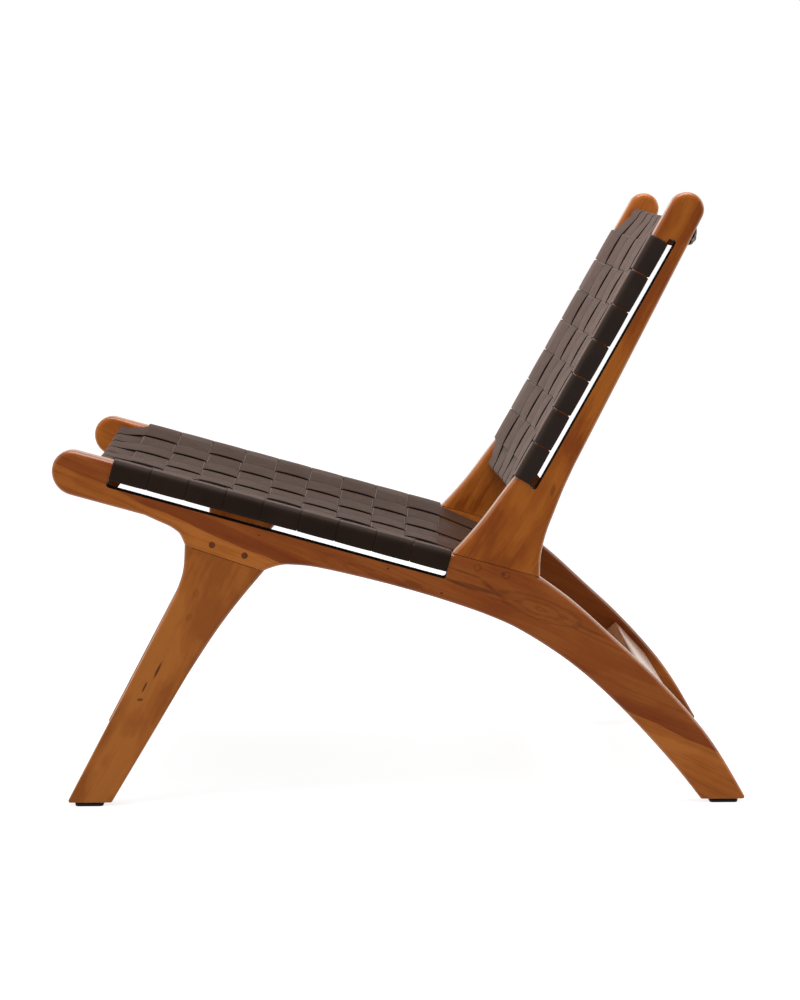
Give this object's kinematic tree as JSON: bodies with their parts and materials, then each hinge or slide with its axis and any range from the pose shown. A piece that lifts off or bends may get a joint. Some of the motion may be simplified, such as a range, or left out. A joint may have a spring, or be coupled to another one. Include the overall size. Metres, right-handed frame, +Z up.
{
  "type": "sling lounge chair",
  "caption": "Low lounge chair with arched wooden side frames and a reclined seat and back, both woven from flat leather straps that wrap slotted rails.",
  "frame": {"origin": "on the floor, under the middle of the chair's box", "axes": "+Z up; +Y towards the back, so the sitter faces -Y; +X to the sitter's left"},
  "size_m": [0.6142, 0.815, 0.7184],
  "materials": {
    "side_frame_teak": "oiled satin, two-tone reddish brown grain",
    "cross_member_teak": "oiled satin",
    "lengthwise_leather": "smooth dark brown, soft sheen",
    "crosswise_leather": "smooth dark brown, soft sheen",
    "glide_rubber": "matt black"
  },
  "bodies": {
    "root": {"left_seat_rail": "side_frame_teak", "left_front_leg": "side_frame_teak", "left_back_post": "side_frame_teak", "right_seat_rail": "side_frame_teak", "right_front_leg": "side_frame_teak", "right_back_post": "side_frame_teak", "front_seat_rail": "cross_member_teak", "rear_seat_rail": "cross_member_teak", "lower_back_rail": "cross_member_teak", "top_back_rail": "cross_member_teak", "rear_leg_stretcher": "cross_member_teak", "seat_long_strap_01": "lengthwise_leather", "seat_long_strap_02": "lengthwise_leather", "seat_long_strap_03": "lengthwise_leather", "seat_long_strap_04": "lengthwise_leather", "seat_long_strap_05": "lengthwise_leather", "seat_long_strap_06": "lengthwise_leather", "seat_long_strap_07": "lengthwise_leather", "seat_long_strap_08": "lengthwise_leather", "seat_long_strap_09": "lengthwise_leather", "seat_long_strap_10": "lengthwise_leather", "seat_long_strap_11": "lengthwise_leather", "back_long_strap_01": "lengthwise_leather", "back_long_strap_02": "lengthwise_leather", "back_long_strap_03": "lengthwise_leather", "back_long_strap_04": "lengthwise_leather", "back_long_strap_05": "lengthwise_leather", "back_long_strap_06": "lengthwise_leather", "back_long_strap_07": "lengthwise_leather", "back_long_strap_08": "lengthwise_leather", "back_long_strap_09": "lengthwise_leather", "back_long_strap_10": "lengthwise_leather", "back_long_strap_11": "lengthwise_leather", "seat_cross_strap_1": "crosswise_leather", "seat_cross_strap_2": "crosswise_leather", "seat_cross_strap_3": "crosswise_leather", "seat_cross_strap_4": "crosswise_leather", "seat_cross_strap_5": "crosswise_leather", "seat_cross_strap_6": "crosswise_leather", "seat_cross_strap_7": "crosswise_leather", "seat_cross_strap_8": "crosswise_leather", "seat_cross_strap_9": "crosswise_leather", "back_cross_strap_1": "crosswise_leather", "back_cross_strap_2": "crosswise_leather", "back_cross_strap_3": "crosswise_leather", "back_cross_strap_4": "crosswise_leather", "back_cross_strap_5": "crosswise_leather", "back_cross_strap_6": "crosswise_leather", "back_cross_strap_7": "crosswise_leather", "left_front_glide": "glide_rubber", "left_rear_glide": "glide_rubber", "right_front_glide": "glide_rubber", "right_rear_glide": "glide_rubber"}
  },
  "joints": []
}
